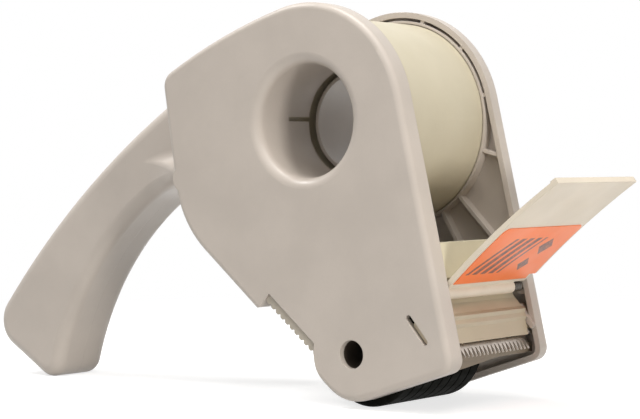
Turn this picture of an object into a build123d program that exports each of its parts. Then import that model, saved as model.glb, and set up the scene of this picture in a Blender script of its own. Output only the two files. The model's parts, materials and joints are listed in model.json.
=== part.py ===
from build123d import *

import os
from math import asin, atan2, cos, degrees, hypot, radians, sin, sqrt, tan

# Hand-held packing tape dispenser for 50 mm tape on a 76 mm core.
# Working frame while it is built: hub axis through (0, 0) of the XZ plane, +X to the cutting end,
# +Z up, mid-plane of the body at Y = 0. Left (-Y) and right (+Y) are as seen by someone who faces
# the cutting end. Millimetres and degrees.

# ---------------------------------------------------------------- modelling
contact = 0.01
cut_past = 1.0

# ---------------------------------------------------------------- body
overall_width = 66.5
left_rim_depth = 8.0
right_rim_depth = 6.5
face_wall = 2.4
rim_wall = 2.2
rim_round = 2.4
crown_radius = 42.2
front_lean = 12.7
bow_angle = 105.0
bow_radius = 240.0
back_reach = 64.6
back_lean = 8.6
back_corner_round = 6.0
heel_round = 40.0
toe_slope = 40.0
bottom_rise = 18.4
front_corner_round = 5.0
nose_radius = 16.7
back_wall_reach = 16.0

# ---------------------------------------------------------------- hub tubes and drum
hub_mouth_radius = 20.5
hub_mouth_round = 4.0
left_tube_end_radius = 19.9
tube_wall = 2.3
left_tube_short = 3.3
right_tube_tip_radius = 19.0
right_tube_bore_radius = 17.7
snap_slit_width = 1.6
snap_slit_length = 12.0
snap_slit_count = 4
snap_slit_angle = 184.0
right_tube_end = -0.5
right_bearing_length = 26.0
ring_bore_radius = 37.9
ring_wall = 1.0
ring_rib_width = 1.4
ring_rib_spacing = 30.0
ring_rib_first = -46.0
ring_rib_count = 6
lower_rib_angle = -60.0
lower_rib_reach = 66.0
rib_set_back = 0.3
drum_radius = 37.6
drum_wall = 2.0
drum_end_gap = 0.4
drum_web_thickness = 2.4
drum_spoke_count = 6
drum_spoke_width = 2.2
running_gap = 0.06
sleeve_wall = 2.2
drum_chamfer = 0.5

# ---------------------------------------------------------------- application roller
roller_axis = (20.8, -82.4)
roller_radius = 19.45
roller_left_gap = 0.25
roller_right_gap = 0.85
roller_rubber = 3.0
roller_groove_pitch = 5.5
roller_groove_depth = 0.5
roller_edge_round = 1.5
axle_radius = 6.0
axle_bore_radius = 5.05
bush_wall = 2.0
bush_length = 6.0
bush_flange = 1.2
spoke_count = 5
core_wall = 2.0
groove_half = 0.4
roller_clearance = 0.8
axle_socket_depth = 8.5
spoke_set_back = 2.0

# ---------------------------------------------------------------- grip
grip_width = 27.5
grip_shell = 2.6
grip_round = 5.0
grip_root_height = 18.4
grip_back_rise = 6.9
grip_reach = 84.8
grip_tip_round = 7.5
grip_end_slope = 31.2
grip_end_length = 21.2
grip_heel_round = 12.0
grip_heel_angle = 50.0
grip_under_angle = 75.0
grip_under_reach = 30.9
grip_under_height = -30.8
grip_under_rise = 7.0
grip_neck_radius = 42.0
grip_joint = 1.0
grip_inner_reach = 7.8
flare_root = 3.0
flare_inside = 3.0
flare_web = 8.5
flare_fold = 6.0
flare_ledge_round = 3.0

# ---------------------------------------------------------------- lower rear guide
notch_depth = 8.5
notch_length = 41.2
notch_corner_round = 3.0
guide_inset = 5.0
guide_ridge_pitch = 2.7
guide_ridge_height = 0.9
guide_ridge_flank = 0.3
guide_gap = 0.05
guide_end_inset = 0.8

# ---------------------------------------------------------------- front bridge
bridge_top = -43.0
bridge_bottom = -55.2
bridge_thickness = 2.2
bridge_set_back = 0.2
bridge_seat_root = 4.5
bridge_seat_inset = 1.0

# ---------------------------------------------------------------- wiper flap
flap_axis = (53.4, -60.3)
flap_barrel_radius = 2.4
flap_pin_radius = 1.2
flap_tip = (99.2, -22.6)
flap_foot = (56.3, -57.7)
flap_rise = 1.2
flap_thickness = 1.8
flap_side_gap = 0.75
flap_overhang = 3.4
flap_narrow_length = 3.0
flap_root_slope = 130.0
flap_root_end = 150.0
flap_lip_height = 0.4
flap_lip_width = 2.4
label_thickness = 0.25
label_length = 29.2
label_side_margin = 1.4
label_round = 2.5
spring_bay = 6.6
spring_wire = 0.35
spring_bay_gap = 0.4
coil_clearance = 0.15
flap_spring_pitch = 1.1
label_start = 0.7
pin_boss_depth = 5.5

# ---------------------------------------------------------------- blade guard, blade and holder
slide_angle = 50.0
guard_left_gap = 1.0
guard_right_gap = 2.2
guard_ridge = (57.2, -68.3)
guard_foot = (58.0, -77.7)
guard_lip = (50.4, -61.2)
guard_lip_width = 1.4
guard_step = (52.4, -64.4)
guard_shoulder = (55.5, -67.5)
guard_ridge_pitch = 2.8
guard_ridge_depth = 0.6
guard_ridge_step = 0.3
guard_wall = 2.4
guard_face_wall = 1.9
arm_thickness = 1.6
arm_gap = 0.4
arm_front = (52.6, -67.8)
arm_shoulder = 4.65
arm_rear = 4.7
slot_centre = (48.4, -72.65)
slot_length = 12.6
slot_width = 2.2
fin_clearance = 0.35
fin_inset = 1.4
guard_travel = 3.0
rail_width = 1.8
rail_length = 10.0
rail_centre = (54.6, -72.6)
tab_width = 1.6
tab_length = 4.0
tab_clearance = 0.35
rail_stand = 1.6
guard_edge = 1.1
spring_foot = (47.9, -65.75)
spring_seat = (43.8, -60.85)
spring_end_gap = 0.15
spring_seat_width = 6.0
spring_pad_width = 5.0
spring_pad_height = 3.0
guard_spring_radius = 1.5
guard_spring_pitch = 1.5
guard_spring_inset = 19.25
blade_tip = (58.3, -82.8)
blade_angle = 60.0
blade_height = 12.0
blade_thickness = 0.7
blade_side_gap = 1.0
tooth_pitch = 2.5
tooth_height = 3.6
tooth_gap = 0.5
tooth_root_step = 0.2
holder_front_drop = 3.2
holder_lead = 0.4
holder_foot_margin = 0.5
holder_foot_drop = 0.6
blade_screw_inset = 10.0
blade_screw_radius = 1.5
blade_screw_drop = 3.5
blade_head_radius = 2.6
blade_head_sink = 0.45
blade_screw_length = 4.0
blade_screw_hole = 4.5
holder_head = 6.0
holder_low = -84.4
lip_drop = 3.0
lip_past_middle = 7.0

# ---------------------------------------------------------------- fasteners and brake
screw_shaft_radius = 1.45
screw_pilot_gap = 0.05
screw_head_radius = 3.0
screw_head_height = 2.0
screw_head_gap = 0.35
screw_boss_radius = 4.2
screw_recess_floor = 2.4
screw_tip = -9.0
boss_wall = 2.0
screw_drive_depth = 1.0
screw_drive_length = 3.6
screw_drive_width = 0.9
brake_bore_gap = 0.1
tip_screw = (86.4, -82.0)
neck_screw = (19.4, -8.0)
back_screw = (-6.1, 12.0)
heel_screw = (-18.6, -41.5)
brake_pad_thickness = 1.2
brake_spring_height = 1.6
brake_ring_thickness = 1.5
brake_width = 6.0

# ---------------------------------------------------------------- worked out from the above
half_width = overall_width / 2
left_face = -half_width
right_face = half_width
left_rim = left_face + left_rim_depth
right_rim = right_face - right_rim_depth
left_floor = left_face + face_wall
right_floor = right_face - face_wall
grip_half = grip_width / 2
tube_outer_radius = left_tube_end_radius + tube_wall
sleeve_bore_radius = tube_outer_radius + running_gap
floor_height = roller_axis[1] - roller_radius
roller_start = left_face + axle_socket_depth + bush_flange + roller_left_gap
roller_end = right_face - axle_socket_depth - bush_flange - roller_right_gap
screw_spots = [(-back_reach - spot[0], spot[1]) for spot in (tip_screw, neck_screw, back_screw, heel_screw)]
brake_start = left_face + hub_mouth_round
brake_stack = brake_spring_height + brake_ring_thickness + brake_pad_thickness
sleeve_start = brake_start + brake_stack + running_gap
sleeve_end = right_face - hub_mouth_round - running_gap


def polar(radius, angle, centre=(0.0, 0.0)):
    return (centre[0] + radius * cos(radians(angle)), centre[1] + radius * sin(radians(angle)))


def moved(point, distance, angle):
    return polar(distance, angle, point)


def crossing(p, a, q, b):
    """Where the line through p at angle a meets the line through q at angle b."""
    along_a = (cos(radians(a)), sin(radians(a)))
    along_b = (cos(radians(b)), sin(radians(b)))
    spread = along_a[0] * along_b[1] - along_a[1] * along_b[0]
    travel = ((q[0] - p[0]) * along_b[1] - (q[1] - p[1]) * along_b[0]) / spread
    return (p[0] + travel * along_a[0], p[1] + travel * along_a[1])


def line_to_circle(p, a, centre, radius):
    """Where the line from p at angle a leaves the circle."""
    along = (cos(radians(a)), sin(radians(a)))
    gap = (p[0] - centre[0], p[1] - centre[1])
    half = gap[0] * along[0] + gap[1] * along[1]
    travel = -half + sqrt(half * half - gap[0] ** 2 - gap[1] ** 2 + radius * radius)
    return (p[0] + travel * along[0], p[1] + travel * along[1])


def front_x(height):
    """Front edge of the body at a height."""
    return crown_radius / cos(radians(front_lean)) - height * tan(radians(front_lean))


def bowed(p, q, rise):
    """Arc from p to q that stands off its chord by rise, to the left of the way."""
    span = hypot(q[0] - p[0], q[1] - p[1])
    lift = (-rise * (q[1] - p[1]) / span, rise * (q[0] - p[0]) / span)
    middle = ((p[0] + q[0]) / 2 + lift[0], (p[1] + q[1]) / 2 + lift[1])
    return ThreePointArc(p, middle, q)


def corner(sketch, point):
    """The sketch's vertex next to a point."""
    return sketch.vertices().sort_by_distance(Vector(point[0], point[1], 0))[0]


def prism(profile, start, end):
    """Stands an XZ profile up as a solid between two Y values."""
    return extrude(Pos(0, max(start, end), 0) * (Plane.XZ * profile), amount=abs(end - start))


def rod(centre, radius, start, end):
    return prism(Pos(*centre) * Circle(radius), start, end)


def tube(centre, outer, inner, start, end):
    return prism(Pos(*centre) * (Circle(outer) - Circle(inner)), start, end)


def bar(centre, length, width, angle, start, end):
    return prism(Pos(*centre) * Rot(0, 0, angle) * Rectangle(length, width), start, end)


def polygon(*points):
    return make_face(Polyline(*points, close=True))


def mirrored(shape):
    return mirror(shape, about=Plane.XZ)


# ---------------------------------------------------------------- side frames
bow_centre = polar(bow_radius - crown_radius, bow_angle + 180)
back_foot = (-back_reach, 0.0)
bow_end = line_to_circle(back_foot, 90 + back_lean, bow_centre, bow_radius)
toe_touch = polar(nose_radius, 270 - toe_slope, roller_axis)
bottom_touch = polar(nose_radius, 270 + bottom_rise, roller_axis)
heel = crossing(back_foot, 90 + back_lean, toe_touch, -toe_slope)
nose = crossing(toe_touch, -toe_slope, bottom_touch, bottom_rise)
crown_front = polar(crown_radius, front_lean)
front_foot = crossing(crown_front, front_lean - 90, bottom_touch, bottom_rise)


def body_outline():
    crown = CenterArc((0, 0), crown_radius, front_lean, bow_angle - front_lean)
    bow_sweep = degrees(atan2(bow_end[1] - bow_centre[1], bow_end[0] - bow_centre[0])) - bow_angle
    bow = CenterArc(bow_centre, bow_radius, bow_angle, bow_sweep)
    rest = Polyline(bow @ 1, heel, nose, front_foot, crown @ 0)
    outline = make_face([crown, bow, rest])
    outline = fillet(corner(outline, bow_end), back_corner_round)
    outline = fillet(corner(outline, heel), heel_round)
    outline = fillet(corner(outline, nose), nose_radius)
    return fillet(corner(outline, front_foot), front_corner_round)


def toe_point(back, depth):
    """A point on the lower rear edge, back along it from the nose and in from it."""
    return moved(moved(toe_touch, back, 180 - toe_slope), depth, 90 - toe_slope)


def toe_strip(back, outer, inner):
    """The band along the lower rear edge between two depths, from the nose back, clear of the nose's arc."""
    corners = [toe_point(0, outer), toe_point(back, outer), toe_point(back, inner), toe_point(0, inner)]
    return polygon(*corners) - Pos(*roller_axis) * Circle(nose_radius)


def notched_outline():
    """The body's outline less the step in its lower rear edge that takes the ridged guide."""
    notched = outline - toe_strip(notch_length, -notch_depth, notch_depth)
    return fillet(corner(notched, toe_point(notch_length, 0)), notch_corner_round)


outline = body_outline()
edge_outline = notched_outline()
inner_outline = offset(edge_outline, amount=-rim_wall)


def side_shell(rim_depth, rib_angles):
    """A side plate with its rim, drum ring and radial ribs, outer face at Y = 0, inside towards +Y."""
    shell = prism(outline, 0, rim_depth)
    outer_edges = shell.edges().filter_by_position(Axis.Y, -contact, contact)
    notch = toe_strip(notch_length + notch_corner_round, -notch_depth, notch_depth) - edge_outline
    shell = fillet(outer_edges, rim_round) - prism(notch, 0, rim_depth)
    shell -= prism(inner_outline, face_wall, rim_depth)
    shell += tube((0, 0), ring_bore_radius + ring_wall, ring_bore_radius, face_wall, rim_depth)
    ribs = [rib_between(angle, rim_depth) for angle in rib_angles]
    return shell + ribs


def rib_between(angle, rim_depth):
    """A radial rib from the drum ring out to the rim."""
    start = ring_bore_radius + ring_wall / 2
    strip = Pos((start + lower_rib_reach) / 2, 0) * Rectangle(lower_rib_reach - start, ring_rib_width)
    rib = Rot(0, 0, angle) * strip
    return prism(rib & inner_outline, face_wall, rim_depth - rib_set_back)


rib_angles = [ring_rib_first + ring_rib_spacing * step for step in range(ring_rib_count)] + [lower_rib_angle]


def hub_cut(mouth):
    """The rounded mouth and the bore's straight part through a side plate."""
    throat = tube((0, 0), mouth + hub_mouth_round, mouth, 0, hub_mouth_round)
    ring = Plane.XY * Pos(mouth + hub_mouth_round, hub_mouth_round) * Circle(hub_mouth_round)
    return throat - revolve(ring, axis=Axis.Y) + rod((0, 0), mouth, 0, face_wall)


def back_wall(start, end):
    """The wall that closes the rear of the body between the side plates."""
    band = edge_outline - inner_outline
    window = Pos(-back_reach, (bow_end[1] + heel[1]) / 2) * Rectangle(2 * back_wall_reach, 2 * crown_radius)
    return prism(band & window, start, end)


# ---------------------------------------------------------------- grip halves
tip_centre = (-back_reach - grip_reach, floor_height + grip_tip_round)
end_front = polar(grip_tip_round, 270 - grip_end_slope, tip_centre)
end_back = moved(end_front, grip_end_length, 180 - grip_end_slope)
heel_centre = moved(end_back, grip_heel_round, 90 - grip_end_slope)
grip_back_end = polar(grip_heel_round, 90 + grip_heel_angle, heel_centre)
grip_root_top = (-back_reach - grip_joint, grip_root_height)
under_start = polar(grip_tip_round, grip_under_angle - 90, tip_centre)
under_top = (-back_reach - grip_under_reach, grip_under_height)
under_bow = bowed(under_start, under_top, grip_under_rise)
neck_angle = degrees(atan2((under_bow % 1).Y, (under_bow % 1).X))
neck_centre = moved(under_top, grip_neck_radius, neck_angle - 90)
grip_inner_end = -back_reach + grip_inner_reach
neck_reach = grip_inner_end - grip_joint
neck_sweep = neck_angle + degrees(asin((neck_reach - neck_centre[0]) / grip_neck_radius))


def grip_profile():
    back = bowed(grip_root_top, grip_back_end, -grip_back_rise)
    heel_sweep = 180 - grip_heel_angle - grip_end_slope
    heel_arc = CenterArc(heel_centre, grip_heel_round, 90 + grip_heel_angle, heel_sweep)
    end_face = Line(heel_arc @ 1, end_front)
    tip_sweep = grip_under_angle + grip_end_slope
    tip_arc = CenterArc(tip_centre, grip_tip_round, 270 - grip_end_slope, tip_sweep)
    neck = CenterArc(neck_centre, grip_neck_radius, 90 + neck_angle, -neck_sweep)
    inside_low = (grip_inner_end, (neck @ 1).Y)
    inside_top = (grip_inner_end, grip_root_height)
    close = Polyline(neck @ 1, inside_low, inside_top, grip_root_top)
    return make_face([back, heel_arc, end_face, tip_arc, under_bow, neck, close])


grip_face = grip_profile()


def flare_plan():
    """The grip seen from above: its side runs straight, then swings out like a trumpet to the body's face."""
    drop = half_width - grip_half
    root = -back_reach + flare_root
    reach = root - under_top[0]
    swing = (reach * reach + drop * drop) / (2 * drop)
    trumpet = CenterArc((under_top[0], -grip_half - swing), swing, 90, -degrees(asin(reach / swing)))
    inside = root + flare_inside
    far = -2 * grip_reach - back_reach
    rest = Polyline(trumpet @ 1, (inside, -half_width), (inside, 0), (far, 0), (far, -grip_half), trumpet @ 0)
    return make_face([trumpet, rest])


def above_flare():
    """What is cut away beside the grip above its flare: a level web edge that folds up into the side."""
    web_edge = grip_neck_radius + flare_web
    far = web_edge + 2 * grip_reach
    fold = CenterArc((web_edge + flare_fold, -grip_half - flare_fold), flare_fold, 180, -90)
    far_side = (far, -overall_width)
    rest = Polyline(fold @ 1, (far, -grip_half), far_side, (web_edge, -overall_width), fold @ 0)
    section = Pos(neck_centre[0], 0, neck_centre[1]) * make_face([fold, rest])
    return revolve(section, axis=Axis((neck_centre[0], 0, neck_centre[1]), (0, 1, 0)))


def on_grip_outline(edge):
    middle = edge @ 0.5
    return grip_face.face().outer_wire().distance_to(Vertex(middle.X, middle.Z, 0)) < contact


def grip_half_shell():
    """The left half of the hollow grip with its flare, from its side face to the mid-plane."""
    column = extrude(Pos(0, 0, -2 * grip_reach) * flare_plan(), amount=4 * grip_reach)
    solid = (prism(grip_face, -half_width, 0) & column) - above_flare()
    behind = solid.edges().filter_by(lambda e: e.center().X < grip_root_top[0])
    ledge = behind.filter_by(lambda e: e.center().Y < -grip_half - grip_joint)
    ledge = ledge.filter_by(GeomType.BSPLINE).filter_by(lambda e: not on_grip_outline(e))
    solid = fillet(ledge, flare_ledge_round)
    behind = solid.edges().filter_by(lambda e: e.center().X < grip_root_top[0])
    outside = behind.filter_by(lambda e: e.center().Y < -grip_half + contact)
    solid = fillet(outside.filter_by(on_grip_outline), grip_round)
    hollow = prism(offset(grip_face, amount=-grip_shell), -grip_half + grip_shell, 0)
    return solid - hollow


# ---------------------------------------------------------------- hub tubes
def hub_collar():
    """Thickens the wall round the hub mouth so that its rounding has material behind it."""
    reach = hub_mouth_radius + hub_mouth_round + rim_wall
    return tube((0, 0), reach, hub_mouth_radius, 0, hub_mouth_round)


def left_tube():
    """The left tube: its bore narrows behind the rounded mouth, and its end is slit."""
    length = half_width - left_tube_short
    section = polygon(
        (hub_mouth_radius, 0),
        (tube_outer_radius, 0),
        (tube_outer_radius, length),
        (left_tube_end_radius, length),
        (hub_mouth_radius, hub_mouth_round),
    )
    wall = revolve(section, axis=Axis.Y)
    for step in range(snap_slit_count):
        slit = Box(2 * (tube_wall + cut_past), snap_slit_length, snap_slit_width)
        slit = Pos(left_tube_end_radius + tube_wall / 2, length - snap_slit_length / 2, 0) * slit
        wall -= Rot(0, snap_slit_angle + 360 * step / snap_slit_count, 0) * slit
    return wall


def right_tube():
    """The right tube: a bearing length for the drum, then a thinner end that faces the left tube."""
    length = half_width - right_tube_end
    section = polygon(
        (hub_mouth_radius, 0),
        (tube_outer_radius, 0),
        (tube_outer_radius, right_bearing_length),
        (right_tube_tip_radius, right_bearing_length + tube_wall),
        (right_tube_tip_radius, length),
        (right_tube_bore_radius, length),
        (hub_mouth_radius, hub_mouth_round),
    )
    return revolve(section, axis=Axis.Y)


# ---------------------------------------------------------------- bosses
def pillar_start(spot, body_wall, grip_wall):
    return grip_wall if spot[0] < bow_end[0] else body_wall


def side_plate(rim_depth):
    plate = side_shell(rim_depth, rib_angles) + hub_collar()
    socket_bore = axle_radius + running_gap
    socket = tube(roller_axis, axle_radius + boss_wall, socket_bore, face_wall, axle_socket_depth)
    pin_disc = Pos(*flap_axis) * Circle(flap_pin_radius + boss_wall)
    pin_boss = prism(pin_disc & outline, face_wall, pin_boss_depth)
    plate += socket
    plate += pin_boss
    plate -= rod(flap_axis, flap_pin_radius + running_gap, face_wall, rim_depth)
    plate -= rod(roller_axis, axle_bore_radius, 0, face_wall)
    return plate - rod((0, 0), hub_mouth_radius, 0, hub_mouth_round)


def half_frame(rim_depth, hub_tube):
    """A side frame in left-hand form, without its side's own details."""
    frame = Pos(0, left_face, 0) * (side_plate(rim_depth) + hub_tube - hub_cut(hub_mouth_radius))
    frame += back_wall(left_face + rim_depth - rim_wall, 0)
    frame += grip_half_shell()
    return frame


def left_frame():
    frame = half_frame(left_rim_depth, left_tube())
    for spot in screw_spots:
        start = pillar_start(spot, left_floor, grip_shell - grip_half)
        frame += rod(spot, screw_boss_radius, start, 0)
        frame -= rod(spot, screw_shaft_radius + screw_pilot_gap, screw_tip - screw_head_height, 0)
    slot = Pos(*slot_centre) * Rot(0, 0, -slide_angle) * SlotOverall(slot_length, slot_width)
    return frame - prism(slot, left_face, left_floor)


def right_frame():
    frame = mirrored(half_frame(right_rim_depth, right_tube()))
    for spot in screw_spots:
        start = pillar_start(spot, right_floor, grip_half - grip_shell)
        frame += rod(spot, screw_boss_radius, 0, start)
        frame -= rod(spot, screw_shaft_radius + screw_pilot_gap, 0, screw_recess_floor)
        frame -= rod(spot, screw_head_radius + screw_head_gap, screw_recess_floor, right_face)
    return frame + guard_rails()


def guard_rails():
    """Two rails on the right wall that guide the blade guard's tab."""
    side = tab_width / 2 + tab_clearance + rail_width / 2
    front = moved(rail_centre, side, 90 - slide_angle)
    rear = moved(rail_centre, -side, 90 - slide_angle)
    front_rail = Pos(*front) * Rot(0, 0, -slide_angle) * Rectangle(rail_length, rail_width)
    rear_rail = Pos(*rear) * Rot(0, 0, -slide_angle) * Rectangle(rail_length, rail_width)
    rails = prism(front_rail & outline, right_rim - rail_stand, right_floor)
    return rails + prism(rear_rail & outline, right_rim, right_floor)


def frame_screw(spot):
    top = screw_recess_floor + screw_head_height
    head = rod(spot, screw_head_radius, screw_recess_floor, top)
    drive = bar(spot, screw_drive_length, screw_drive_width, 0, top - screw_drive_depth, top)
    cross = bar(spot, screw_drive_length, screw_drive_width, 90, top - screw_drive_depth, top)
    shaft = rod(spot, screw_shaft_radius, screw_tip, screw_recess_floor)
    return head + shaft - drive - cross


# ---------------------------------------------------------------- front bridge
def behind_front(height, depth):
    """A point at a height, in from the front edge by depth."""
    return (front_x(height) - depth / cos(radians(front_lean)), height)


def front_bridge():
    """The cross panel under the tape roll, with the seats of the guard's springs."""
    skin = rim_wall + bridge_set_back
    panel = polygon(
        behind_front(bridge_top, skin),
        behind_front(bridge_bottom, skin),
        behind_front(bridge_bottom, skin + bridge_thickness),
        behind_front(bridge_top, skin + bridge_thickness),
    )
    bridge = prism(panel, left_floor, right_floor)
    back = behind_front(bridge_bottom, skin + bridge_thickness)
    seat_top = moved(spring_seat, spring_seat_width / 2, 90 - slide_angle)
    seat_low = moved(spring_seat, -spring_seat_width / 2, 90 - slide_angle)
    seat = polygon(
        back,
        behind_front(bridge_bottom + bridge_seat_root, skin + bridge_thickness),
        moved(seat_low, bridge_thickness, 180 - slide_angle),
        seat_low,
        seat_top,
    )
    return bridge + prism(seat, left_rim + bridge_seat_inset, right_rim - bridge_seat_inset)


# ---------------------------------------------------------------- ridged guide
def rear_guide():
    """The cross strip in the notches of both plates, ridged across its outer side."""
    last = notch_length - guide_gap
    count = int(last / guide_ridge_pitch)
    pitch = last / count
    points = []
    for step in range(count):
        points.append(toe_point(step * pitch, guide_inset + guide_ridge_height))
        points.append(toe_point((step + guide_ridge_flank) * pitch, guide_inset))
        points.append(toe_point((step + 1 - guide_ridge_flank) * pitch, guide_inset))
    points.append(toe_point(last, guide_inset + guide_ridge_height))
    points.append(toe_point(last, notch_depth - guide_gap))
    points.append(toe_point(0, notch_depth - guide_gap))
    start = left_face + guide_end_inset
    end = right_face - guide_end_inset
    strip = prism(polygon(*points), start, end) - rod(roller_axis, nose_radius + guide_gap, start, end)
    clear = roller_radius + roller_clearance
    return strip - rod(roller_axis, clear, roller_start - roller_clearance, roller_end + roller_clearance)


# ---------------------------------------------------------------- drum and brake
def spokes(inner, outer, width, count, start, end, axis=(0, 0)):
    arm = Pos((inner + outer) / 2, 0) * Rectangle(outer - inner, width)
    arms = [Rot(0, 0, 360 * step / count + 180 / count) * arm for step in range(count)]
    return [prism(Pos(*axis) * each, start, end) for each in arms]


def core_drum():
    start = left_floor + drum_end_gap
    end = right_floor - drum_end_gap
    shell = tube((0, 0), drum_radius, drum_radius - drum_wall, start, end)
    rim_edges = shell.edges().filter_by(GeomType.CIRCLE).group_by(SortBy.RADIUS)[-1]
    shell = chamfer(rim_edges, drum_chamfer)
    sleeve_outer = sleeve_bore_radius + sleeve_wall
    hub = tube((0, 0), sleeve_outer + drum_wall, sleeve_outer, sleeve_start, sleeve_end)
    arms = spokes(
        sleeve_outer + drum_wall / 2,
        drum_radius - drum_wall / 2,
        drum_spoke_width,
        drum_spoke_count,
        sleeve_start + drum_web_thickness,
        sleeve_end - drum_web_thickness,
    )
    return shell + hub + arms


def drum_sleeve():
    return tube((0, 0), sleeve_bore_radius + sleeve_wall, sleeve_bore_radius, sleeve_start, sleeve_end)


def brake_part(start, thickness, outer):
    return tube((0, 0), outer, tube_outer_radius + brake_bore_gap, start, start + thickness)


# ---------------------------------------------------------------- roller
def roller_axle():
    return tube(roller_axis, axle_radius, axle_bore_radius, left_floor, right_floor)


def roller_core():
    bore = axle_radius + running_gap + bush_wall
    outer = roller_radius - roller_rubber
    core = tube(roller_axis, outer, outer - core_wall, roller_start, roller_end)
    hub = tube(roller_axis, bore + core_wall, bore, roller_start, roller_end)
    first = roller_start + spoke_set_back
    last = roller_end - spoke_set_back
    reach = outer - core_wall / 2
    arms = spokes(bore + core_wall / 2, reach, core_wall, spoke_count, first, last, roller_axis)
    return core + hub + arms


def roller_sleeve():
    """The rubber cover, grooved round at an even pitch, with rounded ends."""
    cover = tube(roller_axis, roller_radius, roller_radius - roller_rubber, roller_start, roller_end)
    rims = cover.edges().filter_by(GeomType.CIRCLE).group_by(SortBy.RADIUS)[-1]
    cover = fillet(rims, roller_edge_round)
    count = int((roller_end - roller_start) / roller_groove_pitch) - 1
    for step in range(count):
        middle = (roller_start + roller_end) / 2 + (step - (count - 1) / 2) * roller_groove_pitch
        start = middle - groove_half
        end = middle + groove_half
        cover -= tube(roller_axis, roller_radius + cut_past, roller_radius - roller_groove_depth, start, end)
    return cover


def roller_bush(end, inward):
    """A flanged bush that carries the roller core on its axle."""
    bore = axle_radius + running_gap
    barrel = tube(roller_axis, bore + bush_wall, bore, end, end + inward * bush_length)
    flange = tube(roller_axis, bore + bush_wall + bush_flange, bore, end, end - inward * bush_flange)
    return barrel + flange


# ---------------------------------------------------------------- wiper flap
def flap_band(inner_offset, outer_offset, start, end):
    """The flap's bowed band between two offsets from its label face, start and end as shares of its chord."""
    span = hypot(flap_tip[0] - flap_foot[0], flap_tip[1] - flap_foot[1])
    swing = (span * span / 4 + flap_rise * flap_rise) / (2 * flap_rise)
    slope = degrees(atan2(flap_tip[1] - flap_foot[1], flap_tip[0] - flap_foot[0]))
    middle = moved(flap_foot, span / 2, slope)
    centre = moved(middle, swing - flap_rise, slope - 90)
    half_sweep = degrees(asin(span / 2 / swing))
    first = slope + 90 + half_sweep - 2 * half_sweep * start
    last = slope + 90 + half_sweep - 2 * half_sweep * end
    inner = CenterArc(centre, swing + inner_offset, first, last - first)
    outer = CenterArc(centre, swing + outer_offset, first, last - first)
    return make_face([inner, outer, Line(inner @ 0, outer @ 0), Line(inner @ 1, outer @ 1)])


flap_left = left_rim + flap_side_gap
flap_right = right_rim - flap_side_gap
flap_wide = right_rim + flap_overhang
flap_chord = hypot(flap_tip[0] - flap_foot[0], flap_tip[1] - flap_foot[1])
flap_narrow = flap_narrow_length / flap_chord
bay_start = flap_right - spring_bay


def wiper_flap():
    """The bowed flap on its barrel, wider in front of the body than between the side plates."""
    plate = prism(flap_band(0, flap_thickness, 0, 1), flap_left, flap_right)
    wing = prism(flap_band(0, flap_thickness, flap_narrow, 1), flap_right, flap_wide)
    lip_start = 1 - flap_lip_width / flap_chord
    lip = prism(flap_band(0, flap_thickness + flap_lip_height, lip_start, 1), flap_left, flap_wide)
    root_back = moved(flap_foot, flap_thickness, flap_root_slope)
    root_end = moved(flap_axis, flap_barrel_radius, flap_root_end)
    root = prism(polygon(flap_foot, root_back, root_end, flap_axis), flap_left, flap_right)
    barrel = rod(flap_axis, flap_barrel_radius, flap_left, flap_right)
    flap = plate + wing + lip + root + barrel
    flap -= rod(flap_axis, flap_barrel_radius + spring_bay_gap, bay_start, flap_right)
    return flap - rod(flap_axis, flap_pin_radius + running_gap, flap_left, flap_right)


def flap_label():
    start = label_start / flap_chord
    end = start + label_length / flap_chord
    left = flap_left + label_side_margin
    low = prism(flap_band(-label_thickness, 0, start, flap_narrow), left, flap_right - label_side_margin)
    label = low + prism(flap_band(-label_thickness, 0, flap_narrow, end), left, flap_wide - label_side_margin)
    corners = label.edges().filter_by(GeomType.LINE).filter_by(lambda e: e.length < 2 * label_thickness)
    top = corners.sort_by(Axis.Z)[-2:]
    return fillet(top, label_round)


def flap_pin():
    return rod(flap_axis, flap_pin_radius, left_floor, right_floor)


def coil(centre, radius, wire, pitch, length):
    """An open coil of round wire that starts at the origin and runs along +Z, moved by its caller."""
    path = Helix(pitch, length, radius)
    section = Plane(origin=path @ 0, z_dir=path % 0) * Circle(wire)
    return Pos(*centre) * sweep(section, path=path)


def flap_spring():
    radius = flap_pin_radius + spring_wire + coil_clearance
    length = spring_bay - 4 * spring_wire - 2 * coil_clearance
    middle = bay_start + spring_bay / 2
    turned = Rot(-90, 0, 0) * coil((0, 0, 0), radius, spring_wire, flap_spring_pitch, length)
    return Pos(flap_axis[0], middle - length / 2, flap_axis[1]) * turned


# ---------------------------------------------------------------- blade guard
guard_start = left_rim + guard_left_gap
guard_end = right_rim - guard_right_gap
guard_spring_places = (left_face + guard_spring_inset, right_face - guard_spring_inset)


def behind(point):
    """A point of the guard's back, behind one of its front."""
    return (point[0] - guard_wall, point[1] - guard_wall / 2)


def guard_section():
    """The stepped section: upper lip, recess, two ridges, lower face."""
    lip_back = (guard_lip[0] - guard_lip_width, guard_lip[1])
    valley = (guard_ridge[0] - guard_ridge_depth, guard_ridge[1] - guard_ridge_pitch / 2)
    second_ridge = (guard_ridge[0] + guard_ridge_step, guard_ridge[1] - guard_ridge_pitch)
    face_top = (second_ridge[0] - guard_ridge_depth, second_ridge[1] - guard_ridge_pitch / 2)
    front = [lip_back, guard_lip, guard_step, guard_shoulder, guard_ridge, valley, second_ridge, face_top]
    edge_back = (guard_foot[0] - guard_edge, guard_foot[1])
    lip_low = (lip_back[0], guard_lip[1] - guard_wall)
    face_back = (face_top[0] - guard_face_wall, face_top[1])
    return polygon(*front, guard_foot, edge_back, face_back, behind(guard_step), lip_low)


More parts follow.
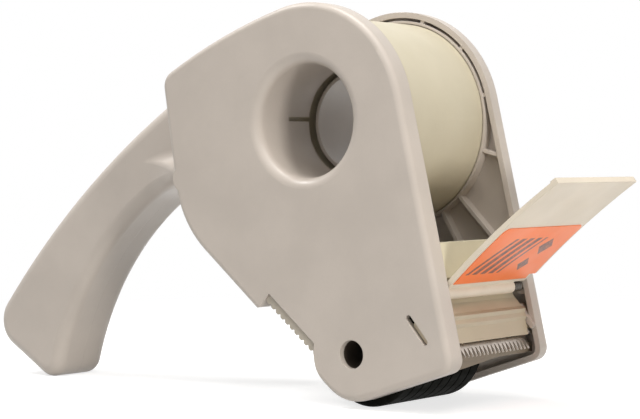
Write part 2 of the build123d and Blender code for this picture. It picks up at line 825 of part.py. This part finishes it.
def blade_guard():
    """The stepped guard in front of the blade, with the fin and the tab that it slides on."""
    body = prism(guard_section(), guard_start, guard_end)
    rest = moved(slot_centre, guard_travel / 2, -slide_angle)
    fin_length = slot_length - guard_travel - 2 * fin_clearance
    fin_width = slot_width - 2 * fin_clearance
    fin = Pos(*rest) * Rot(0, 0, -slide_angle) * SlotOverall(fin_length, fin_width)
    arm = polygon(
        (guard_lip[0] - guard_lip_width, guard_lip[1] - guard_wall),
        arm_front,
        moved(slot_centre, arm_shoulder, 90 - slide_angle),
        moved(slot_centre, fin_length / 2, -slide_angle),
        moved(slot_centre, -arm_rear, -slide_angle),
    )
    tab_centre = moved(rail_centre, guard_travel / 2, -slide_angle)
    tab_end = right_floor - tab_clearance
    guard = body + prism(fin, left_face + fin_inset, guard_start)
    guard += prism(arm, guard_start, guard_start + arm_thickness)
    guard += bar(tab_centre, tab_length, tab_width, -slide_angle, guard_end - guard_wall, tab_end)
    pad_centre = moved(spring_foot, spring_pad_height / 2, -slide_angle)
    for place in guard_spring_places:
        pad_start = place - spring_pad_width / 2
        pad_end = place + spring_pad_width / 2
        guard += bar(pad_centre, spring_pad_height, spring_pad_width, -slide_angle, pad_start, pad_end)
    return guard


def guard_spring(place):
    """One of the two coils that push the guard forward, from its back to its seat on the bridge."""
    room = hypot(spring_seat[0] - spring_foot[0], spring_seat[1] - spring_foot[1])
    start = spring_wire + spring_end_gap
    spring = coil((0, 0, start), guard_spring_radius, spring_wire, guard_spring_pitch, room - 2 * start)
    turned = Rot(0, slide_angle - 90, 0) * spring
    return Pos(spring_foot[0], place, spring_foot[1]) * turned


# ---------------------------------------------------------------- blade
blade_start = left_rim + blade_side_gap
blade_end = right_rim - blade_side_gap
blade_mount_point = moved(blade_tip, blade_height - blade_screw_drop, 180 - blade_angle)


def blade():
    """The toothed strip, drawn flat from its tips upward and stood on its slope."""
    width = blade_end - blade_start
    count = round(width / tooth_pitch)
    pitch = width / count
    root = tooth_height - tooth_root_step
    points = [(0, blade_height), (0, tooth_height)]
    for step in range(count):
        left = step * pitch
        points.append((left + tooth_gap / 2, root))
        points.append((left + pitch / 2, 0))
        points.append((left + pitch - tooth_gap / 2, root))
    points.append((width, tooth_height))
    points.append((width, blade_height))
    strip = polygon(*points)
    facing = Plane(
        origin=(blade_tip[0], blade_start, blade_tip[1]),
        x_dir=(0, 1, 0),
        z_dir=(sin(radians(blade_angle)), 0, cos(radians(blade_angle))),
    )
    sheet = extrude(facing * strip, amount=blade_thickness / 2, both=True)
    for place in blade_screw_places:
        sheet -= blade_screw_rod(place, blade_screw_radius + running_gap, -blade_thickness, blade_thickness)
        sink_floor = blade_thickness / 2 - blade_head_sink
        sheet -= blade_screw_rod(place, blade_head_radius + running_gap, sink_floor, blade_thickness)
    return sheet


blade_middle = (blade_start + blade_end) / 2
blade_screw_places = (blade_start + blade_screw_inset, blade_end - blade_screw_inset)


def blade_screw_rod(place, radius, start, end):
    """A round bar square to the blade, between two distances in front of its middle."""
    facing = Plane(
        origin=(blade_mount_point[0], place, blade_mount_point[1]),
        z_dir=(sin(radians(blade_angle)), 0, cos(radians(blade_angle))),
    )
    return extrude(facing * Pos(0, 0, start) * Circle(radius), amount=end - start)


def blade_screw(place):
    face = blade_thickness / 2
    head = blade_screw_rod(place, blade_head_radius, face - blade_head_sink, face)
    return head + blade_screw_rod(place, blade_screw_radius, -blade_screw_length, face)


def blade_holder():
    """The cross bar behind the blade, with feet that reach the side walls and a lip under the left teeth."""
    half = blade_thickness / 2
    low = moved(moved(blade_tip, holder_front_drop, 180 - blade_angle), -half, 90 - blade_angle)
    high = moved(moved(blade_tip, blade_height, 180 - blade_angle), -half, 90 - blade_angle)
    section = polygon(
        low,
        high,
        moved(high, holder_head, 270 - blade_angle),
        (high[0] - holder_head, holder_low),
        (low[0] + holder_lead, holder_low),
    )
    start = guard_start + arm_thickness + arm_gap
    foot_front = low[0] - holder_foot_margin
    foot_back = high[0] + holder_foot_margin
    foot_top = low[1] - holder_foot_drop
    foot = Pos((foot_front + foot_back) / 2, (foot_top + holder_low) / 2) * Rectangle(
        foot_front - foot_back, foot_top - holder_low
    )
    holder = prism(section, start, blade_end) + prism(foot, left_floor, right_floor)
    lip_end = blade_middle + lip_past_middle
    lip_face = Plane.YZ * polygon((start, holder_low), (start, holder_low - lip_drop), (lip_end, holder_low))
    holder += Pos(low[0] - holder_head, 0, 0) * extrude(lip_face, amount=holder_head)
    for place in blade_screw_places:
        holder -= blade_screw_rod(place, blade_screw_radius + screw_pilot_gap, -blade_screw_hole, 0)
    return holder


# ---------------------------------------------------------------- assembly
def make_parts():
    ring_start = brake_start + brake_spring_height
    pad_start = ring_start + brake_ring_thickness
    brake_outer = tube_outer_radius + brake_width
    parts = {
        "left_frame": left_frame(),
        "right_frame": right_frame(),
        "front_bridge": front_bridge(),
        "rear_guide": rear_guide(),
        "core_drum": core_drum(),
        "drum_sleeve": drum_sleeve(),
        "brake_spring": brake_part(brake_start, brake_spring_height, brake_outer),
        "brake_ring": brake_part(ring_start, brake_ring_thickness, brake_outer),
        "brake_pad": brake_part(pad_start, brake_pad_thickness, brake_outer),
        "roller_axle": roller_axle(),
        "roller_core": roller_core(),
        "roller_sleeve": roller_sleeve(),
        "roller_bush_left": roller_bush(roller_start, 1),
        "roller_bush_right": roller_bush(roller_end, -1),
        "wiper_flap": wiper_flap(),
        "flap_label": flap_label(),
        "flap_pin": flap_pin(),
        "flap_spring": flap_spring(),
        "blade_guard": blade_guard(),
        "blade": blade(),
        "blade_holder": blade_holder(),
    }
    for number, spot in enumerate(screw_spots, 1):
        parts[f"frame_screw_{number}"] = frame_screw(spot)
    for number, place in enumerate(guard_spring_places, 1):
        parts[f"guard_spring_{number}"] = guard_spring(place)
    for number, place in enumerate(blade_screw_places, 1):
        parts[f"blade_screw_{number}"] = blade_screw(place)
    return parts


parts = make_parts()
boxes = [part.bounding_box() for part in parts.values()]
middle_x = (min(box.min.X for box in boxes) + max(box.max.X for box in boxes)) / 2
lowest = min(box.min.Z for box in boxes)
os.makedirs("parts", exist_ok=True)
for name, part in parts.items():
    export_step(Pos(-middle_x, 0, -lowest) * part, f"parts/{name}.step")
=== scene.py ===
import json
import math

import bpy
from mathutils import Euler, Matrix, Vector

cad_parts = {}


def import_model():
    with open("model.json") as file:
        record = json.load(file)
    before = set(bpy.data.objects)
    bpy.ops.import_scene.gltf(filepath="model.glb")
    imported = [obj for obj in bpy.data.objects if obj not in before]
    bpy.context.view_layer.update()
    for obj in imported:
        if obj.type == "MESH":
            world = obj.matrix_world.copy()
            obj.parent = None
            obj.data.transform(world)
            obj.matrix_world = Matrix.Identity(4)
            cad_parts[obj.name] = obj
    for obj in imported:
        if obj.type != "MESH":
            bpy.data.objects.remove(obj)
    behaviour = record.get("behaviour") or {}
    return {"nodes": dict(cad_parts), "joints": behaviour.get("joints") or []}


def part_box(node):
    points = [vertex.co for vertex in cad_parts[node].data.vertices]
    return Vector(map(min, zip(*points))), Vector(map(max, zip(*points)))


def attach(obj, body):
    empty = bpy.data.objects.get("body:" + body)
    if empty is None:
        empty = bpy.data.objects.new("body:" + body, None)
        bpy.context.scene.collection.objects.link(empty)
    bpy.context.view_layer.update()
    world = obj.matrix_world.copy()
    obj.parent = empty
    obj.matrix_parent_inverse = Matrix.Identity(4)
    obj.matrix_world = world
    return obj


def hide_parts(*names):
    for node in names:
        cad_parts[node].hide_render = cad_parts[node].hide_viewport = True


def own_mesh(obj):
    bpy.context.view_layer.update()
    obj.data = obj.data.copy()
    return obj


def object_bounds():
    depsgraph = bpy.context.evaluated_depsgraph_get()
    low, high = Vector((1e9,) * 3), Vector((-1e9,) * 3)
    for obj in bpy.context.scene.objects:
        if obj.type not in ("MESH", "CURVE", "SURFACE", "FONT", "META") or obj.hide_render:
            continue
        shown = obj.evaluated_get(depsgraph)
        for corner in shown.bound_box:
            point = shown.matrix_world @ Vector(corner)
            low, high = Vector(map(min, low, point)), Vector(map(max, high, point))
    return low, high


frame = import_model()
nodes = frame["nodes"]
cad_lo, cad_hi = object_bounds()
middle = (cad_lo + cad_hi) / 2

MM = 0.001


# ---------------------------------------------------------------- colours
def srgb(r, g, b):
    """A colour as it is seen, 0 to 255, as the linear colour that a shader takes."""
    out = []
    for c in (r, g, b):
        c = c / 255
        out.append(c / 12.92 if c <= 0.04045 else ((c + 0.055) / 1.055) ** 2.4)
    return (*out, 1.0)


def shade(colour, factor, lift=0.0):
    """A lighter or darker colour: each channel times factor, plus lift, up to 1."""
    return tuple(min(1.0, c * factor + lift) for c in colour[:3]) + (1.0,)


# ---------------------------------------------------------------- node helpers
BEVEL_SAMPLES = 6
# The cosines between the flat and the rounded normal at which a corner starts and is full.
FLAT_ENOUGH = 0.995
FULLY_BENT = 0.80


class Tree:
    """A material and the few node calls that the finishes below are made with."""

    def __init__(self, name):
        self.material = bpy.data.materials.new(name)
        self.material.use_nodes = True
        self.nodes = self.material.node_tree.nodes
        self.links = self.material.node_tree.links
        self.nodes.clear()
        self.out = self.add("ShaderNodeOutputMaterial")
        self.shader = self.add("ShaderNodeBsdfPrincipled")
        self.link(self.shader.outputs["BSDF"], self.out.inputs["Surface"])
        self.place = self.add("ShaderNodeTexCoord").outputs["Object"]

    @classmethod
    def of(cls, material):
        """The tree of a material made before, to be added to."""
        tree = cls.__new__(cls)
        tree.material = material
        tree.nodes = material.node_tree.nodes
        tree.links = material.node_tree.links
        tree.shader = next(n for n in tree.nodes if n.type == "BSDF_PRINCIPLED")
        tree.place = tree.add("ShaderNodeTexCoord").outputs["Object"]
        return tree

    def add(self, kind, **values):
        node = self.nodes.new(kind)
        for key, value in values.items():
            setattr(node, key, value)
        return node

    def link(self, a, b):
        self.links.new(a, b)

    def put(self, socket, value):
        if isinstance(value, bpy.types.NodeSocket):
            self.link(value, socket)
        else:
            socket.default_value = value

    def stretched(self, scale, turn=(0, 0, 0)):
        """The object's own coordinates, scaled and turned, for a pattern with a direction."""
        node = self.add("ShaderNodeMapping")
        self.link(self.place, node.inputs["Vector"])
        node.inputs["Scale"].default_value = scale
        node.inputs["Rotation"].default_value = turn
        return node.outputs["Vector"]

    def noise(self, size, detail=3.0, rough=0.5, place=None):
        """Soft noise from 0 to 1 whose lumps are about size metres across."""
        node = self.add("ShaderNodeTexNoise")
        self.link(place or self.place, node.inputs["Vector"])
        node.inputs["Scale"].default_value = 1.0 / size
        node.inputs["Detail"].default_value = detail
        node.inputs["Roughness"].default_value = rough
        return node.outputs["Fac"]

    def cells(self, size):
        """The distance to the nearest of many points that lie about size metres apart."""
        node = self.add("ShaderNodeTexVoronoi")
        self.link(self.place, node.inputs["Vector"])
        node.inputs["Scale"].default_value = 1.0 / size
        return node.outputs["Distance"]

    def band(self, value, lo, hi, out_lo=0.0, out_hi=1.0):
        """A smooth step from out_lo to out_hi while the value goes from lo to hi."""
        node = self.add("ShaderNodeMapRange", interpolation_type="SMOOTHSTEP")
        self.put(node.inputs["Value"], value)
        node.inputs["From Min"].default_value = lo
        node.inputs["From Max"].default_value = hi
        node.inputs["To Min"].default_value = out_lo
        node.inputs["To Max"].default_value = out_hi
        return node.outputs["Result"]

    def math(self, how, a, b=0.0):
        node = self.add("ShaderNodeMath", operation=how)
        self.put(node.inputs[0], a)
        self.put(node.inputs[1], b)
        return node.outputs[0]

    def mix(self, factor, a, b):
        node = self.add("ShaderNodeMix", data_type="RGBA")
        self.put(node.inputs["Factor"], factor)
        self.put(node.inputs["A"], a)
        self.put(node.inputs["B"], b)
        return node.outputs["Result"]

    def bump(self, height, distance, strength, normal=None):
        node = self.add("ShaderNodeBump")
        self.link(height, node.inputs["Height"])
        node.inputs["Distance"].default_value = distance
        node.inputs["Strength"].default_value = strength
        if normal is not None:
            self.link(normal, node.inputs["Normal"])
        return node.outputs["Normal"]

    def edges(self, radius):
        """A rounded normal at the corners, and a mask that is 1 on them."""
        bevel = self.add("ShaderNodeBevel", samples=BEVEL_SAMPLES)
        bevel.inputs["Radius"].default_value = radius
        flat = self.add("ShaderNodeNewGeometry").outputs["Normal"]
        dot = self.add("ShaderNodeVectorMath", operation="DOT_PRODUCT")
        self.link(bevel.outputs["Normal"], dot.inputs[0])
        self.link(flat, dot.inputs[1])
        return bevel.outputs["Normal"], self.band(dot.outputs["Value"], FLAT_ENOUGH, FULLY_BENT)

    def along(self, direction):
        """How far a point is along a direction, in metres."""
        dot = self.add("ShaderNodeVectorMath", operation="DOT_PRODUCT")
        self.link(self.place, dot.inputs[0])
        dot.inputs[1].default_value = direction
        return dot.outputs["Value"]


# ---------------------------------------------------------------- kinds of surface
MOULD_CORNER = 0.35 * MM
MOULD_GRAIN = 0.55 * MM
MOULD_PITS = 1.6 * MOULD_GRAIN
MOULD_CLOUD = 28 * MM
MOULD_FLOW = 9 * MM
FLOW_STRETCH = (1.0, 1.0, 0.28)
FLOW_TURN = (0.0, 0.5, 0.0)
GRIME_SPOT = 5 * MM
GRIME_TINT = (0.55, 0.50, 0.42)
# How far the corners are lightened: partly edge wear, partly a painted highlight.
CORNER_WEAR_AND_HIGHLIGHT = 0.35
CORNER_SHINE = 0.10


def moulded(name, colour, rough=0.5, depth=0.020 * MM, dirt=0.10, even=0.68):
    """Injection-moulded plastic: spark-eroded grain, faint flow marks, grime, and soft, shinier corners whose
    colour is lightened, partly as wear and partly as a painted highlight.
    """
    t = Tree(name)
    rounded, edge = t.edges(MOULD_CORNER)
    cloud = t.noise(MOULD_CLOUD, 4.0, 0.55)
    fine = t.noise(MOULD_GRAIN, 2.0, 0.6)
    pits = t.cells(MOULD_PITS)
    flow = t.noise(MOULD_FLOW, 3.0, 0.6, t.stretched(FLOW_STRETCH, FLOW_TURN))
    spots = t.noise(GRIME_SPOT, 6.0, 0.7)
    light = shade(colour, 1.16)
    dark = shade(colour, 0.88)
    grime = (*(c * tint for c, tint in zip(colour, GRIME_TINT)), 1.0)
    base = t.mix(t.band(cloud, 0.30, 0.72), dark, light)
    base = t.mix(even, base, colour)
    base = t.mix(t.band(fine, 0.35, 0.75, 0.0, 0.10), base, dark)
    base = t.mix(t.band(spots, 0.60, 0.86, 0.0, dirt), base, grime)
    # Corners are mixed towards the lighter tone: partly edge wear, partly a painted highlight.
    base = t.mix(t.math("MULTIPLY", edge, CORNER_WEAR_AND_HIGHLIGHT), base, light)
    t.put(t.shader.inputs["Base Color"], base)
    gloss = t.band(flow, 0.25, 0.8, rough - 0.05, rough + 0.07)
    gloss = t.math("SUBTRACT", gloss, t.math("MULTIPLY", edge, CORNER_SHINE))
    t.put(t.shader.inputs["Roughness"], gloss)
    t.shader.inputs["Specular IOR Level"].default_value = 0.5
    lumps = t.math("ADD", fine, t.math("MULTIPLY", pits, 0.6))
    normal = t.bump(lumps, depth, 0.7, rounded)
    normal = t.bump(cloud, 0.10 * MM, 0.25, normal)
    t.link(normal, t.shader.inputs["Normal"])
    return t.material


def rubber(name, colour):
    """Dull black rubber: fine ground grain, dust in the pores and a greyer worn crown."""
    t = Tree(name)
    rounded, edge = t.edges(0.4 * MM)
    grain = t.noise(0.35 * MM, 3.0, 0.65)
    ground = t.noise(2.2 * MM, 4.0, 0.6, t.stretched((1.0, 0.18, 1.0)))
    dust = t.noise(7 * MM, 6.0, 0.7)
    grey = shade(colour, 2.2, 0.004)
    base = t.mix(t.band(dust, 0.50, 0.85, 0.0, 0.40), colour, grey)
    base = t.mix(t.math("MULTIPLY", edge, 0.35), base, grey)
    t.put(t.shader.inputs["Base Color"], base)
    t.put(t.shader.inputs["Roughness"], t.band(ground, 0.2, 0.8, 0.62, 0.86))
    t.shader.inputs["Specular IOR Level"].default_value = 0.06
    normal = t.bump(grain, 0.05 * MM, 0.6, rounded)
    normal = t.bump(ground, 0.08 * MM, 0.4, normal)
    t.link(normal, t.shader.inputs["Normal"])
    return t.material


def steel(name, colour, rough, brush, wear=0.25, stain=None):
    """Bare or plated steel: fine lines stretched by brush, small stains and bright corners."""
    t = Tree(name)
    rounded, edge = t.edges(0.12 * MM)
    lines = t.noise(0.35 * MM, 3.0, 0.7, t.stretched(brush))
    spots = t.noise(2.4 * MM, 5.0, 0.65)
    tarnish = stain or shade(colour, 0.55)
    bright = shade(colour, 1.3)
    base = t.mix(t.band(spots, 0.48, 0.78, 0.0, 0.55), colour, tarnish)
    base = t.mix(t.band(lines, 0.35, 0.7, 0.0, 0.22), base, tarnish)
    base = t.mix(t.math("MULTIPLY", edge, wear), base, bright)
    t.put(t.shader.inputs["Base Color"], base)
    t.shader.inputs["Metallic"].default_value = 1.0
    t.put(t.shader.inputs["Roughness"], t.band(lines, 0.2, 0.8, rough - 0.07, rough + 0.12))
    t.link(t.bump(lines, 0.02 * MM, 0.5, rounded), t.shader.inputs["Normal"])
    return t.material


def felt(name, colour):
    """Pressed wool felt: tangled fibres, pale fluff on the outside."""
    t = Tree(name)
    fibres = t.noise(0.45 * MM, 8.0, 0.75)
    tufts = t.cells(0.8 * MM)
    pale = shade(colour, 1.5, 0.02)
    t.put(t.shader.inputs["Base Color"], t.mix(t.band(fibres, 0.35, 0.7), colour, pale))
    t.put(t.shader.inputs["Roughness"], t.band(fibres, 0.2, 0.8, 0.86, 1.0))
    t.shader.inputs["Sheen Weight"].default_value = 0.35
    t.shader.inputs["Sheen Roughness"].default_value = 0.5
    normal = t.bump(fibres, 0.25 * MM, 0.8)
    t.link(t.bump(tufts, 0.12 * MM, 0.4, normal), t.shader.inputs["Normal"])
    return t.material


# ---------------------------------------------------------------- finishes
body = moulded("body_moulding", srgb(189, 179, 169), rough=0.36, depth=0.012 * MM)
bridge = moulded("bridge_moulding", srgb(205, 197, 172), rough=0.46)
guide = moulded("guide_moulding", srgb(176, 167, 153), rough=0.52)
drum = moulded("drum_moulding", srgb(196, 187, 164), rough=0.44, depth=0.010 * MM, dirt=0.05, even=0.82)
bearing = moulded("bearing_moulding", srgb(150, 142, 130), rough=0.38, depth=0.008 * MM)
flap = moulded("flap_moulding", srgb(219, 207, 188), rough=0.42)
guard = moulded("guard_moulding", srgb(186, 172, 148), rough=0.42, depth=0.012 * MM)
holder = moulded("holder_moulding", srgb(120, 108, 92), rough=0.50)
roller_hub = moulded("roller_hub_moulding", srgb(60, 57, 52), rough=0.5, dirt=0.2)
tread = rubber("roller_rubber", srgb(16, 16, 13))
blade_stain = srgb(112, 92, 78)
tooth_steel = steel("blade_steel", srgb(206, 196, 186), 0.30, (1.0, 0.10, 1.0), wear=0.5, stain=blade_stain)
spring_steel = steel("spring_steel", srgb(112, 108, 102), 0.34, (0.3, 0.3, 0.3))
zinc = steel("plated_steel", srgb(186, 184, 176), 0.30, (0.2, 1.0, 0.2))
wool = felt("brake_felt", srgb(74, 70, 64))
axle_bar = moulded("axle_moulding", srgb(62, 54, 46), rough=0.5)


# The label's print. "Out" runs up the flap from the label's root, and "side" runs across it.
LABEL_WAY = (0.774, 0.0, 0.633)
LABEL_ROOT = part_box("flap_label")[0][0] * LABEL_WAY[0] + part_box("flap_label")[0][2] * LABEL_WAY[2]
BAR_SLANT = 0.62
BAR_SPACING = 2.6 * MM
BAR_EDGE = (0.95 * MM, 1.15 * MM)
FIELD_ROOT = (4.6 * MM, 5.0 * MM)
FIELD_TIP = (23.4 * MM, 23.0 * MM)
FIELD_LEFT = (-24.0 * MM, -23.8 * MM)
FIELD_RIGHT = (-2.4 * MM, -2.6 * MM)
DIAMONDS = ((18.0 * MM, 16.5 * MM, 4.6 * MM), (8.6 * MM, 12.5 * MM, 3.6 * MM))
DIAMOND_EDGE = 0.4 * MM


def printed_film(name, ground, ink):
    """A vinyl label on the flap: plain ground, a generic motif of slanted bars and diamonds, rubbed ink."""
    material = moulded(name, ground, rough=0.40, depth=0.006 * MM, dirt=0.05)
    t = Tree.of(material)
    out = t.along(LABEL_WAY)
    side = t.along((0.0, 1.0, 0.0))
    out = t.math("SUBTRACT", out, LABEL_ROOT)
    slant = t.math("SUBTRACT", side, t.math("MULTIPLY", out, BAR_SLANT))
    wave = t.math("PINGPONG", slant, BAR_SPACING)
    bars = t.band(wave, *BAR_EDGE)
    field = t.math("MULTIPLY", t.band(out, *FIELD_ROOT), t.band(out, *FIELD_TIP))
    field = t.math("MULTIPLY", field, t.band(slant, *FIELD_LEFT))
    field = t.math("MULTIPLY", field, t.band(slant, *FIELD_RIGHT))
    print_mask = t.math("MULTIPLY", bars, field)
    for centre_out, centre_side, reach in DIAMONDS:
        du = t.math("ABSOLUTE", t.math("SUBTRACT", out, centre_out))
        dv = t.math("ABSOLUTE", t.math("SUBTRACT", side, centre_side))
        diamond = t.band(t.math("ADD", du, dv), reach, reach - DIAMOND_EDGE)
        print_mask = t.math("MAXIMUM", print_mask, diamond)
    rubbed = t.band(t.noise(1.3 * MM, 5.0, 0.7), 0.30, 0.62, 0.62, 0.98)
    base = t.shader.inputs["Base Color"].links[0].from_socket
    t.put(t.shader.inputs["Base Color"], t.mix(t.math("MULTIPLY", print_mask, rubbed), base, ink))
    return material


label = printed_film("label_film", srgb(250, 124, 54), srgb(84, 72, 68))

FINISH = {
    "left_frame": body,
    "right_frame": body,
    "front_bridge": bridge,
    "rear_guide": guide,
    "core_drum": drum,
    "drum_sleeve": drum,
    "brake_spring": spring_steel,
    "brake_ring": zinc,
    "brake_pad": wool,
    "roller_axle": axle_bar,
    "roller_core": roller_hub,
    "roller_sleeve": tread,
    "roller_bush_left": bearing,
    "roller_bush_right": bearing,
    "wiper_flap": flap,
    "flap_label": label,
    "flap_pin": zinc,
    "flap_spring": spring_steel,
    "blade_guard": guard,
    "blade": tooth_steel,
    "blade_holder": holder,
}
for name, node in nodes.items():
    finish = FINISH.get(name)
    if finish is None:
        finish = spring_steel if name.startswith("guard_spring") else zinc
    node.data.materials.clear()
    node.data.materials.append(finish)


# ---------------------------------------------------------------- guard springs
SLIDE = next(j for j in frame["joints"] if j["name"] == "guard_slide")
SLIDE_WAY = Vector(SLIDE["axis"]).normalized()
COIL_TURNS = 4.2
COIL_RADIUS = 1.5 * MM
COIL_WIRE = 0.35 * MM
COIL_HALF_LENGTH = 2.6 * MM
CLOSED_SHARE = 0.16
STEPS_PER_TURN = 28
WIRE_SIDES = 10


def coil_point(share):
    """A point of the coil's centre line in its own frame, with the turns closed up at both ends."""
    turn = 2 * math.pi * COIL_TURNS * share
    eased = share - CLOSED_SHARE * math.sin(2 * math.pi * share) / math.pi
    rise = (2 * eased - 1) * (COIL_HALF_LENGTH - COIL_WIRE)
    return Vector((COIL_RADIUS * math.cos(turn), COIL_RADIUS * math.sin(turn), rise))


def guard_coil(node):
    """A coil of round wire that stands for a guard spring."""
    lo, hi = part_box(node)
    centre = (lo + hi) / 2
    turned = SLIDE_WAY.to_track_quat("Z", "X")
    steps = int(COIL_TURNS * STEPS_PER_TURN)
    sides = WIRE_SIDES
    verts = []
    for i in range(steps + 1):
        here = coil_point(i / steps)
        way = (coil_point((i + 0.5) / steps) - coil_point((i - 0.5) / steps)).normalized()
        out = Vector((here.x, here.y, 0)).normalized()
        up = way.cross(out).normalized()
        out = up.cross(way)
        for k in range(sides):
            a = 2 * math.pi * k / sides
            spot = here + COIL_WIRE * (math.cos(a) * out + math.sin(a) * up)
            verts.append(centre + turned @ spot)
    faces = [tuple(range(sides))[::-1], tuple(steps * sides + k for k in range(sides))]
    for i in range(steps):
        for k in range(sides):
            a = i * sides + k
            b = i * sides + (k + 1) % sides
            faces.append((a, b, b + sides, a + sides))
    mesh = bpy.data.meshes.new(node + "_coil")
    mesh.from_pydata(verts, [], faces)
    mesh.validate()
    for polygon in mesh.polygons:
        polygon.use_smooth = len(polygon.vertices) == 4
    mesh.materials.append(spring_steel)
    coil = bpy.data.objects.new(node + "_coil", mesh)
    bpy.context.collection.objects.link(coil)
    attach(coil, "frame")
    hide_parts(node)
    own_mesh(coil)


for spring in ("guard_spring_1", "guard_spring_2"):
    guard_coil(spring)


# ---------------------------------------------------------------- floor and light
WARM = (1.0, 0.985, 0.96)
SOFT_WARM = (1.0, 0.99, 0.975)
AMBIENT = 0.12
FLOOR_GREY = (0.55, 0.55, 0.545, 1)
FLOOR_GLOW = 0.74
FLOOR_HALF_WIDTH = 6.0
FADE_START = 0.22
FADE_END = 0.55


def maths(tree, how, a, b):
    """A maths node on a socket and either a socket or a number."""
    node = tree.nodes.new("ShaderNodeMath")
    node.operation = how
    tree.links.new(a, node.inputs[0])
    if isinstance(b, bpy.types.NodeSocket):
        tree.links.new(b, node.inputs[1])
    else:
        node.inputs[1].default_value = b
    return node.outputs[0]


def mixed_shader(tree, share, a, b):
    node = tree.nodes.new("ShaderNodeMixShader")
    for socket, source in zip(node.inputs, (share, a, b)):
        tree.links.new(source, socket)
    return node.outputs[0]


def seen_or_mirrored(tree):
    """1 for what is seen directly, through glass or in a reflection, and 0 for light that falls on things."""
    path = tree.nodes.new("ShaderNodeLightPath")
    value = path.outputs["Is Camera Ray"]
    for other in ("Is Glossy Ray", "Is Transmission Ray"):
        value = maths(tree, "MAXIMUM", value, path.outputs[other])
    return value


def floor_material():
    """A grey surface that also glows where it is seen, and fades to plain white further out."""
    material = bpy.data.materials.new("floor_paper")
    material.use_nodes = True
    tree = material.node_tree
    tree.nodes.clear()
    out = tree.nodes.new("ShaderNodeOutputMaterial")
    paper = tree.nodes.new("ShaderNodeBsdfDiffuse")
    paper.inputs["Color"].default_value = FLOOR_GREY
    seen = seen_or_mirrored(tree)
    lit = tree.nodes.new("ShaderNodeEmission")
    tree.links.new(maths(tree, "MULTIPLY", seen, FLOOR_GLOW), lit.inputs["Strength"])
    both = tree.nodes.new("ShaderNodeAddShader")
    tree.links.new(paper.outputs[0], both.inputs[0])
    tree.links.new(lit.outputs[0], both.inputs[1])
    white = tree.nodes.new("ShaderNodeEmission")
    place = tree.nodes.new("ShaderNodeTexCoord")
    reach = tree.nodes.new("ShaderNodeVectorMath")
    reach.operation = "LENGTH"
    tree.links.new(place.outputs["Object"], reach.inputs[0])
    fade = tree.nodes.new("ShaderNodeMapRange")
    fade.interpolation_type = "SMOOTHSTEP"
    fade.inputs["From Min"].default_value = FADE_START
    fade.inputs["From Max"].default_value = FADE_END
    tree.links.new(reach.outputs["Value"], fade.inputs["Value"])
    share = maths(tree, "MULTIPLY", fade.outputs["Result"], seen)
    tree.links.new(mixed_shader(tree, share, both.outputs[0], white.outputs[0]), out.inputs["Surface"])
    return material


def floor():
    half = FLOOR_HALF_WIDTH
    corners = [(-half, -half, 0), (half, -half, 0), (half, half, 0), (-half, half, 0)]
    mesh = bpy.data.meshes.new("floor")
    mesh.from_pydata(corners, [], [(0, 1, 2, 3)])
    plane = bpy.data.objects.new("floor", mesh)
    plane.location = (middle.x, middle.y, 0)
    bpy.context.collection.objects.link(plane)
    mesh.materials.append(floor_material())


def world():
    """Soft light from all round, with a plain white background where it is seen."""
    sky = bpy.data.worlds.new("studio")
    bpy.context.scene.world = sky
    sky.use_nodes = True
    tree = sky.node_tree
    tree.nodes.clear()
    out = tree.nodes.new("ShaderNodeOutputWorld")
    light = tree.nodes.new("ShaderNodeBackground")
    light.inputs["Color"].default_value = (*SOFT_WARM, 1)
    light.inputs["Strength"].default_value = AMBIENT
    white = tree.nodes.new("ShaderNodeBackground")
    white.inputs["Color"].default_value = (1, 1, 1, 1)
    white.inputs["Strength"].default_value = 1.0
    seen = seen_or_mirrored(tree)
    tree.links.new(mixed_shader(tree, seen, light.outputs[0], white.outputs[0]), out.inputs["Surface"])


def lamp(name, place, size, power, colour=(1, 1, 1), mirrored=True):
    """A square lamp that faces the part. One that isn't mirrored leaves no glare on glossy surfaces."""
    data = bpy.data.lights.new(name, "AREA")
    data.shape = "RECTANGLE"
    data.size = size
    data.size_y = size
    data.energy = power
    data.color = colour
    light = bpy.data.objects.new(name, data)
    bpy.context.collection.objects.link(light)
    light.location = place
    light.rotation_mode = "QUATERNION"
    light.rotation_quaternion = (middle - Vector(place)).to_track_quat("-Z", "Y")
    light.visible_glossy = mirrored


floor()
world()
lamp("overhead", (0.06, -0.12, 1.00), 0.5, 7.2, SOFT_WARM)
lamp("key", (0.55, -0.36, 0.85), 0.4, 2.5, WARM)
lamp("low", (0.85, -0.30, 0.06), 0.14, 3.4, WARM, mirrored=False)
lamp("fill", (0.18, -0.68, 0.60), 0.5, 1.3)
lamp("rim", (-0.55, -0.25, 0.80), 0.25, 3.4)
lamp("back", (-0.30, 1.00, 0.28), 0.5, 1.5, mirrored=False)


# ---------------------------------------------------------------- camera
CAMERA_PLACE = (0.45371, -0.57238, 0.08347)
CAMERA_TURN = Euler((math.radians(88.8785), math.radians(0.44297), math.radians(37.05377)), "XYZ")
CAMERA_LENS = 107.396

view = bpy.data.cameras.new("camera")
view.lens = CAMERA_LENS
view.sensor_width = 36.0
view.clip_start = 0.01
view.clip_end = 30.0
camera = bpy.data.objects.new("camera", view)
bpy.context.collection.objects.link(camera)
camera.location = CAMERA_PLACE
camera.rotation_euler = CAMERA_TURN
bpy.context.scene.camera = camera
bpy.context.scene.view_settings.view_transform = "Standard"
